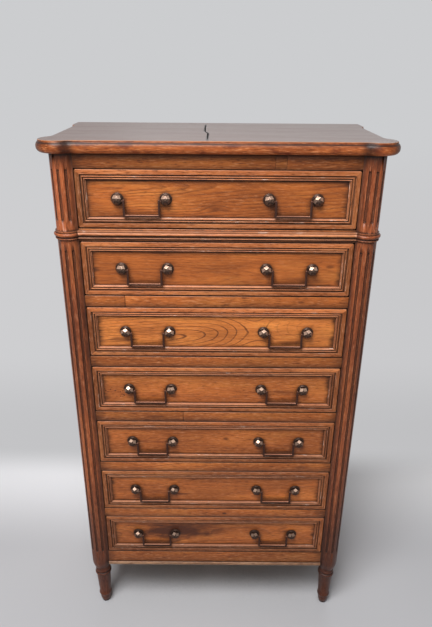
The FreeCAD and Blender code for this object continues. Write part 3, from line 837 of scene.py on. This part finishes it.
def backNails():
    low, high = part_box("back_boards")
    railLow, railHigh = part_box("back_rails")
    first, last = railLow.z + nailSetup["inRail"] * mm, railHigh.z - nailSetup["inRail"] * mm
    nail = makeNail(nailSetup)
    mesh = nailTree().make(bpy.data.meshes.new("empty"), {
        "Nail": nail, "Boards": nailSetup["boards"], "Pitch": (high.x - low.x) / nailSetup["boards"],
        "From Edge": nailSetup["fromEdge"] * mm, "First Height": first, "Rows": nailSetup["rows"],
        "Row Gap": (last - first) / (nailSetup["rows"] - 1), "Left": low.x, "Rear": high.y,
        "Scatter": nailSetup["scatter"] * mm, "Seed": nailSetup["seed"], "Material": nailIron})
    bpy.data.objects.remove(nail)
    addPiece(mesh, "carcass", nailIron, name="backNails")


backNails()
print("case ready")


boxSetup = {  # millimetres
    "side": 12.0,  # thickness of the sides and the back
    "lift": 9.7,  # bottom boards above the lower edge of the sides
    "bottom": 8.0,
    "bottomBoards": 2,
    "arris": 0.8,
    "seed": 80,
}


def drawerBox(number, body):
    node = body + "_box"
    low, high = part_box(node)
    side, lift, bottom = [boxSetup[key] * mm for key in ("side", "lift", "bottom")]
    inner, outer = low.x + side, high.x - side
    floor = low.z + lift
    boards = [
        ((low.x, low.y, low.z), (inner, high.y, high.z)),
        ((outer, low.y, low.z), (high.x, high.y, high.z)),
        ((inner, high.y - side, floor + bottom), (outer, high.y, high.z))]
    pitch = (high.y - low.y) / boxSetup["bottomBoards"]
    for index in range(boxSetup["bottomBoards"]):
        start = low.y + index * pitch
        boards.append(((inner, start, floor), (outer, start + pitch, floor + bottom)))
    work = bmesh.new()
    for first, last in boards:
        first, last = Vector(first), Vector(last)
        place = Matrix.LocRotScale((first + last) / 2, None, last - first)
        bmesh.ops.create_cube(work, size=1.0, matrix=place)
    mesh = softened(newMesh("box", work, outward=False), boxSetup["arris"] * mm)
    grainAlong(mesh, number + boxSetup["seed"])
    shadeByAngle(mesh, boardSetup["smoothAngle"])
    addPiece(mesh, body, innerWood, node)


frameSetup = {  # millimetres
    "cornerRadius": 5.0,
    "cornerSteps": 6,
    "edgeRound": 2.5,
    "border": 11.5,
    "borderArris": 0.7,
    "groove": 2.5,
    "outerBead": 4.5,
    "beadGroove": 1.0,
    "innerBead": 3.5,
    "width": 24.5,
    "height": 7.0,
    "floor": 3.5,
    "crown": 6.2,
    "lip": 2.5,
    "weld": 0.02,
    "smoothAngle": 32,  # degrees
    "tones": (0.82, 0.92),
    "offsets": (4, 0.02, 0.1),  # metres
    "seed": 60,
}


def quarterTurn(centre, radius, start, steps):
    points = []
    for step in range(steps + 1):
        turn = math.radians(start + 90 * step / steps)
        points.append((centre[0] + radius * math.cos(turn), centre[1] + radius * math.sin(turn)))
    return points


def beadArc(start, width, low, high, steps=8):
    points = []
    for step in range(steps + 1):
        turn = math.pi * (1 - step / steps)
        points.append((start + width / 2 * (1 + math.cos(turn)), low + (high - low) * math.sin(turn)))
    return points


def frameSection(setup):
    edge, arris = setup["edgeRound"], setup["borderArris"]
    face, floor = setup["height"], setup["floor"]
    border = setup["border"]
    outer = border + setup["groove"]
    inner = outer + setup["outerBead"] + setup["beadGroove"]
    points = [(0.0, 0.0)]
    points += reversed(quarterTurn((edge, face - edge), edge, start=90, steps=4))
    points += reversed(quarterTurn((border - arris, face - arris), arris, start=0, steps=3))
    points += [(border, floor)]
    points += beadArc(outer, setup["outerBead"], floor, setup["crown"])
    points += beadArc(inner, setup["innerBead"], floor, setup["crown"])
    points += [(setup["width"], setup["lip"]), (setup["width"], 0.0), (0.0, 0.0)]
    return points


def mitredFrameTree():
    g = Shaper("mitredFrame", Int=["Points", "Corner Steps"], Vector=["Centre"], Float=[
        "Corner Radius", "Half Width", "Half Height", "Weld"])
    steps, radius = g.given("Corner Steps"), g.given("Corner Radius")
    around = steps * 4 + 1
    grid = g.add("GeometryNodeMeshGrid", None, {"Vertices X": g.given("Points"), "Vertices Y": around})
    index = g.add("GeometryNodeInputIndex")
    spot = g.add("GeometryNodeInputPosition")
    section = g.add("GeometryNodeSampleIndex", {"data_type": "FLOAT_VECTOR"}, {
        "Geometry": g.given("Geometry"), "Value": spot, "Index": (index / around).maths("FLOOR")})
    inset, height = [g.split(section)[part] for part in (0, 2)]
    turn = index.maths("MODULO", around)
    corner = (turn / steps).maths("FLOOR")
    angle = (corner + turn.maths("MODULO", steps) / (steps - 1)) * (math.pi / 2)
    diagonal = corner * (math.pi / 2) + math.pi / 4
    centreIn = inset.maths("MAXIMUM", radius)
    swing = (radius - inset).maths("MAXIMUM", 0.0)
    x = diagonal.maths("COSINE").maths("SIGN") * (g.given("Half Width") - centreIn)
    z = diagonal.maths("SINE").maths("SIGN") * (g.given("Half Height") - centreIn)
    place = g.join(x + swing * angle.maths("COSINE"), -height, z + swing * angle.maths("SINE"))
    moved = g.add("GeometryNodeSetPosition", None, {
        "Geometry": grid, "Position": g.vector("ADD", place, g.given("Centre"))})
    g.deliver(g.add("GeometryNodeMergeByDistance", None, {
        "Geometry": moved, "Distance": g.given("Weld")}))
    return g


def lineMesh(points):
    mesh = bpy.data.meshes.new("section")
    edges = [(index, index + 1) for index in range(len(points) - 1)]
    mesh.from_pydata([(x * mm, 0.0, z * mm) for x, z in points], edges, [])
    return mesh


def frameGrain(mesh, centre, halfWidth, halfHeight, sideTones, seed):
    draw = random.Random(seed)
    shifts = [[draw.uniform(-reach, reach) for reach in frameSetup["offsets"]] for side in range(4)]
    values = []
    tones = []
    lighter = draw.uniform(*frameSetup["tones"])
    for face in mesh.polygons:
        middle = face.center - centre
        upright = halfWidth - abs(middle.x) < halfHeight - abs(middle.z)
        side = (2 if upright else 0) + (1 if (middle.x if upright else middle.z) > 0 else 0)
        for vertex in face.vertices:
            spot = mesh.vertices[vertex].co - centre
            along, across = (spot.z, spot.x) if upright else (spot.x, spot.z)
            values += [a + b for a, b in zip((along, spot.y, across), shifts[side])]
            tones.append(lighter * sideTones[side])
    writeGrain(mesh, "CORNER", values, tones)


frameTones = {  # bottom, top, left and right moulding of each frame
    1: (0.93, 1.24, 0.58, 0.78),
    2: (1.32, 1.36, 0.79, 0.79),
    3: (1.24, 1.75, 0.79, 1.00),
    4: (1.28, 1.34, 0.82, 0.82),
    5: (0.85, 1.14, 0.8, 0.76),
    6: (0.85, 1.00, 0.82, 0.82),
    7: (0.6, 0.99, 0.62, 0.82),
}
frameTree = mitredFrameTree()
framePoints = frameSection(frameSetup)


def drawerFrame(number, body):
    node = body + "_frame"
    low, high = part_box(node)
    centre = Vector(((low.x + high.x) / 2, high.y, (low.z + high.z) / 2))
    halfWidth, halfHeight = (high.x - low.x) / 2, (high.z - low.z) / 2
    mesh = frameTree.make(lineMesh(framePoints), {
        "Points": len(framePoints), "Corner Steps": frameSetup["cornerSteps"],
        "Corner Radius": frameSetup["cornerRadius"] * mm, "Half Width": halfWidth,
        "Half Height": halfHeight, "Centre": centre, "Weld": frameSetup["weld"] * mm,
        "Material": mouldingWalnut})
    putInto(mesh, workOn(mesh))
    frameGrain(mesh, centre, halfWidth, halfHeight, frameTones[number], number + frameSetup["seed"])
    shadeByAngle(mesh, frameSetup["smoothAngle"])
    addPiece(mesh, body, mouldingWalnut, node)


# Pulls

pullSetup = {  # millimetres, out from the face of the board
    "rosette": [(0.0, 0.0), (13.3, 0.0), (14.0, 0.5), (14.0, 1.1), (13.2, 1.7), (12.0, 1.5), (11.3, 1.9),
                (10.6, 2.7), (9.4, 3.0), (8.0, 2.6), (6.0, 3.1), (5.5, 4.2), (6.6, 5.3), (0.0, 5.3)],
    "turnSteps": 40,
    "facets": 5,
    "head": [(7.4, 5.0, 0.0), (12.3, 9.0, 0.5), (10.6, 13.4, 0.0), (5.2, 17.0, 0.5)],  # radius, out, turn
    "tip": 17.9,
    "tipFacing": -0.85,  # a facet that faces further forwards counts as the tip
    "sidePolish": (1.0, 0.38),
    "tipPolish": (0.6, 0.12),
    "rosettePolish": 0.05,
    "facetArris": 0.35,
    "arrisAngle": 8,  # degrees
    "smoothAngle": 24,  # degrees
    "stem": 20.0,
    "nutSides": 6,
    "nutRadius": 7.0,
    "nutThickness": 5.0,
    "nutArris": 0.6,
    "offset": 172.0,
    "spacing": 110.0,
    "twist": 0.6,  # how far a post is turned by chance, in radians
}


def facetedHead(work, setup):
    count = setup["facets"]
    rings = []
    for radius, out, phase in setup["head"]:
        turns = [2 * math.pi * (step + phase) / count for step in range(count)]
        rings.append([work.verts.new(onCircle(radius, out, turn)) for turn in turns])
    tip = work.verts.new((0.0, -setup["tip"] * mm, 0.0))
    for step in range(count):
        after = (step + 1) % count
        for index, (lower, upper) in enumerate(zip(rings, rings[1:])):
            near, far = (step, after) if index % 2 else (after, step)  # every second ring is turned
            work.faces.new((lower[step], lower[after], upper[far]))
            work.faces.new((upper[step], upper[after], lower[near]))
        work.faces.new((rings[-1][step], rings[-1][after], tip))
    work.faces.new(list(reversed(rings[0])))


def facetPolish(face, headCount, setup):
    # painted glints: every second facet is bright, facets that face forwards are duller, and the rosette
    # is dulled with painted shade
    if min(face.vertices) >= headCount:
        return setup["rosettePolish"]
    turn = math.atan2(face.normal.z, face.normal.x) / (2 * math.pi) * setup["facets"]
    bright, dull = setup["tipPolish" if face.normal.y < setup["tipFacing"] else "sidePolish"]
    return bright if math.floor(turn * 2 + 0.25) % 2 else dull


def makePullPost(setup):
    work = bmesh.new()
    facetedHead(work, setup)
    head = softened(newMesh("pullHead", work), setup["facetArris"] * mm, angle=setup["arrisAngle"])
    work = workOn(head)
    headCount = len(work.verts)
    turnedShell(work, setup["rosette"], setup["turnSteps"])
    near, far = -setup["stem"], -setup["stem"] - setup["nutThickness"]
    radius, arris = setup["nutRadius"], setup["nutArris"]
    turnedShell(work, [(0.0, near), (radius - arris, near), (radius, near - arris), (radius, far + arris),
                       (radius - arris, far), (0.0, far)], setup["nutSides"])
    mesh = newMesh("pullPost", work)
    polish = mesh.attributes.new("polish", "FLOAT", "FACE")
    polish.data.foreach_set("value", [facetPolish(face, headCount, setup) for face in mesh.polygons])
    shadeByAngle(mesh, setup["smoothAngle"])
    for face in mesh.polygons:
        face.use_smooth = min(face.vertices) >= headCount
    return placeObject("pullPost", mesh)


def pullRowTree():
    g = Shaper("pullRow", Object=["Post"], Float=["Offset", "Spacing", "Twist"], Vector=["Centre"],
               Int=["Seed"])
    index = g.add("GeometryNodeInputIndex")
    side = (index / 2.0).maths("FLOOR") * 2.0 - 1.0
    end = index.maths("MODULO", 2.0) * 2.0 - 1.0
    spot = g.join(side * g.given("Offset") + end * g.given("Spacing") * 0.5, 0.0, 0.0)
    chance = g.add("FunctionNodeRandomValue", {"data_type": "FLOAT"}, {
        "ID": index, "Seed": g.given("Seed")}, 1)
    turn = g.join(0.0, (chance - 0.5) * g.given("Twist") * 2.0, 0.0)
    g.repeat("Post", 4, g.vector("ADD", spot, g.given("Centre")), turn)
    return g


pullPost = makePullPost(pullSetup)
pullTree = pullRowTree()


def drawerPulls(number, body):
    node = body + "_pull_posts"
    low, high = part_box(node)
    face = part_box(body + "_front")[0].y
    mesh = pullTree.make(bpy.data.meshes.new("empty"), {
        "Post": pullPost, "Offset": pullSetup["offset"] * mm, "Spacing": pullSetup["spacing"] * mm,
        "Centre": Vector((0.0, face, (low.z + high.z) / 2)), "Twist": pullSetup["twist"], "Seed": number,
        "Material": pullMetal})
    addPiece(mesh, body, pullMetal, node)


bailSetup = {  # millimetres
    "halfWidth": 40.0,
    "bar": 5.0,
    "drop": 34.0,
    "top": 3.5,
    "arris": 1.5,
    "arrisSteps": 3,
    "pinRadius": 1.6,
    "pinLength": 8.5,
    "pinSides": 16,
    "handled": 0.6,  # share of the drop above which the bar is dulled: painted shade, and less wear from hands
    "polish": (1.0, 0.3),
    "smoothAngle": 40,  # degrees
}


def makeBail(setup, centre):
    half = setup["bar"] / 2
    inner, outer = setup["halfWidth"] - half, setup["halfWidth"] + half
    rightHalf = [(inner, half - setup["drop"]), (inner, setup["top"]), (outer, setup["top"]),
                 (outer, -half - setup["drop"])]
    outline = [(-x, z) for x, z in reversed(rightHalf)] + rightHalf
    work = bmesh.new()
    front, back = [[work.verts.new((x * mm, y * mm, z * mm)) for x, z in outline] for y in (-half, half)]
    work.faces.new(front)
    work.faces.new(list(reversed(back)))
    for index in range(len(outline)):
        after = (index + 1) % len(outline)
        work.faces.new((front[after], front[index], back[index], back[after]))
    work = workOn(softened(newMesh("bar", work), setup["arris"] * mm, setup["arrisSteps"]))
    radius, length = setup["pinRadius"] * mm, setup["pinLength"] * mm
    for side in (-1, 1):
        middle = Matrix.Translation((side * (setup["halfWidth"] * mm + length / 2), 0, 0))
        bmesh.ops.create_cone(
            work, cap_ends=True, segments=setup["pinSides"], radius1=radius, radius2=radius, depth=length,
            matrix=middle @ Matrix.Rotation(math.pi / 2, 4, "Y"))
    bmesh.ops.translate(work, verts=work.verts, vec=centre)
    mesh = newMesh("bail", work, outward=False)
    lowBar = centre.z - setup["drop"] * setup["handled"] * mm
    bright, dull = setup["polish"]
    polish = mesh.attributes.new("polish", "FLOAT", "POINT")
    polish.data.foreach_set("value", [bright if v.co.z < lowBar else dull for v in mesh.vertices])
    shadeByAngle(mesh, setup["smoothAngle"])
    return mesh


def drawerBail(body):
    low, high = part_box(body)
    centre = Vector(((low.x + high.x) / 2, (low.y + high.y) / 2, high.z - bailSetup["top"] * mm))
    addPiece(makeBail(bailSetup, centre), body, bailMetal, body)


fieldSetup = {
    "seedStep": 2.6,
    "rim": (0.2943, 0.0423),  # half length and half height inside the frame, in metres
}
for number in drawerNumbers:
    body = "drawer_%d" % number
    fieldWalnut = walnut(
        "drawerWalnut%d" % number, "drawer_wood", seed=number * fieldSetup["seedStep"],
        rim=fieldSetup["rim"], **drawerFigures[number])
    woodPiece(body + "_front", body, fieldWalnut, bevel=0, axis=0, still=True,
              tones=[drawerTones[number]])
    drawerBox(number, body)
    drawerFrame(number, body)
    drawerPulls(number, body)
    drawerBail(body + "_left_bail")
    drawerBail(body + "_right_bail")
bpy.data.objects.remove(pullPost)
print("drawers ready")


# Floor and lights

floorSetup = {  # lengths in metres
    "half": 40.0,
    "near": (paint(198, 198, 201), paint(196, 196, 199)),  # at the left and at the right
    # the paper lighter behind the chest: a painted band of light
    "behind": (paint(250, 250, 253), paint(253, 253, 255)),
    "leftToRight": (-0.6, 0.35),
    "nearToBehind": (0.02, 0.46),
    # painted shadow on the paper under the chest
    "under": paint(44, 41, 41),
    "underReach": 0.35,
    "rough": 0.9,
    "clearBehind": (0.42, 0.62),  # where the lit paper fades out behind the chest
    "clearAround": (1.3, 2.4),  # and at its sides and in front
    "band": paint(196, 196, 198),  # the faint band behind, and what lies past it
    "far": paint(206, 206, 208),
    "bandToFar": (0.75, 1.5),
    "rightShade": paint(249, 249, 249),
    "shadeAcross": (-1.6, 1.6),
    "sky": paint(204, 205, 207),
    "skyAway": (2.5, 12.0),
}
worldSetup = {"colour": paint(226, 226, 228), "strength": 0.09}
lightSetup = {  # metres and watts
    "keySoftbox": {"place": (-0.62, -1.5, 3.3), "target": (0, 0, 0.8), "size": (1.5, 1.2), "power": 96},
    "frontSoftbox": {"place": (-0.5, -2.7, 2.9), "target": (0, 0, 0.6), "size": (1.4, 1.4), "power": 22},
    "backSoftbox": {"place": (0.4, 2.2, 3.0), "target": (0, 0.2, 0.6), "size": (2.4, 1.4), "power": 22},
}


def seenDirectly(g):
    rays = g.add("ShaderNodeLightPath").socket.node.outputs
    seen = [Wire(g, rays["Is %s Ray" % kind]) for kind in ("Camera", "Glossy", "Transmission")]
    return (seen[0] + seen[1] + seen[2]).maths("MINIMUM", 1.0)


def makeFloor(setup):
    half = setup["half"]
    mesh = bpy.data.meshes.new("studioFloor")
    mesh.from_pydata([(-half, -half, 0), (half, -half, 0), (half, half, 0), (-half, half, 0)], [],
                     [(0, 1, 2, 3)])
    material, g = newMaterial("studioPaper")
    x, y = g.split(g.objectPlace())[:2]
    right = g.ease(x, *setup["leftToRight"])
    near, behind = g.blend(right, *setup["near"]), g.blend(right, *setup["behind"])
    tone = g.blend(g.ease(y, *setup["nearToBehind"]), near, behind)
    # painted shadow on the paper where the chest hems it in
    clearance = g.openness(setup["underReach"], 8)
    tone = g.blend(g.ease(clearance, 0.02, 0.55, 1.0, 0.0), tone, setup["under"])
    farTone = g.blend(g.ease(y, *setup["bandToFar"]), setup["band"], setup["far"])
    farTone = g.blend(g.ease(x, *setup["shadeAcross"]), farTone, setup["rightShade"], "MULTIPLY")
    away = abs(x).maths("MAXIMUM", abs(y))
    farTone = g.blend(g.ease(away, *setup["skyAway"]), farTone, setup["sky"])
    clearBehind = g.ease(y, *setup["clearBehind"])
    clearAround = g.ease(abs(x).maths("MAXIMUM", -y), *setup["clearAround"])
    clear = clearBehind.maths("MAXIMUM", clearAround) * seenDirectly(g)
    paper = g.add("ShaderNodeBsdfPrincipled", None, {"Base Color": tone, "Roughness": setup["rough"]})
    glow = g.add("ShaderNodeEmission", None, {"Color": farTone, "Strength": 1.0})
    both = g.add("ShaderNodeMixShader", None, {0: clear, 1: paper, 2: glow})
    g.add("ShaderNodeOutputMaterial", None, {"Surface": both})
    mesh.materials.append(material)
    placeObject("studioFloor", mesh)


def makeWorld(setup):
    world = bpy.data.worlds.new("studio")
    bpy.context.scene.world = world
    world.use_nodes = True
    g = Graph(world.node_tree)
    dim = g.add("ShaderNodeBackground", None, {"Color": setup["colour"], "Strength": setup["strength"]})
    seen = g.add("ShaderNodeBackground", None, {"Color": floorSetup["sky"], "Strength": 1.0})
    both = g.add("ShaderNodeMixShader", None, {0: seenDirectly(g), 1: dim, 2: seen})
    g.add("ShaderNodeOutputWorld", None, {"Surface": both})


def makeLight(name, setup):
    data = bpy.data.lights.new(name, "AREA")
    data.shape = "RECTANGLE"
    data.size, data.size_y = setup["size"]
    data.energy = setup["power"]
    light = placeObject(name, data)
    light.location = setup["place"]
    aim = Vector(setup["target"]) - Vector(setup["place"])
    light.rotation_euler = aim.to_track_quat("-Z", "Y").to_euler()


makeFloor(floorSetup)
makeWorld(worldSetup)
for name, setup in lightSetup.items():
    makeLight(name, setup)
print("room ready")
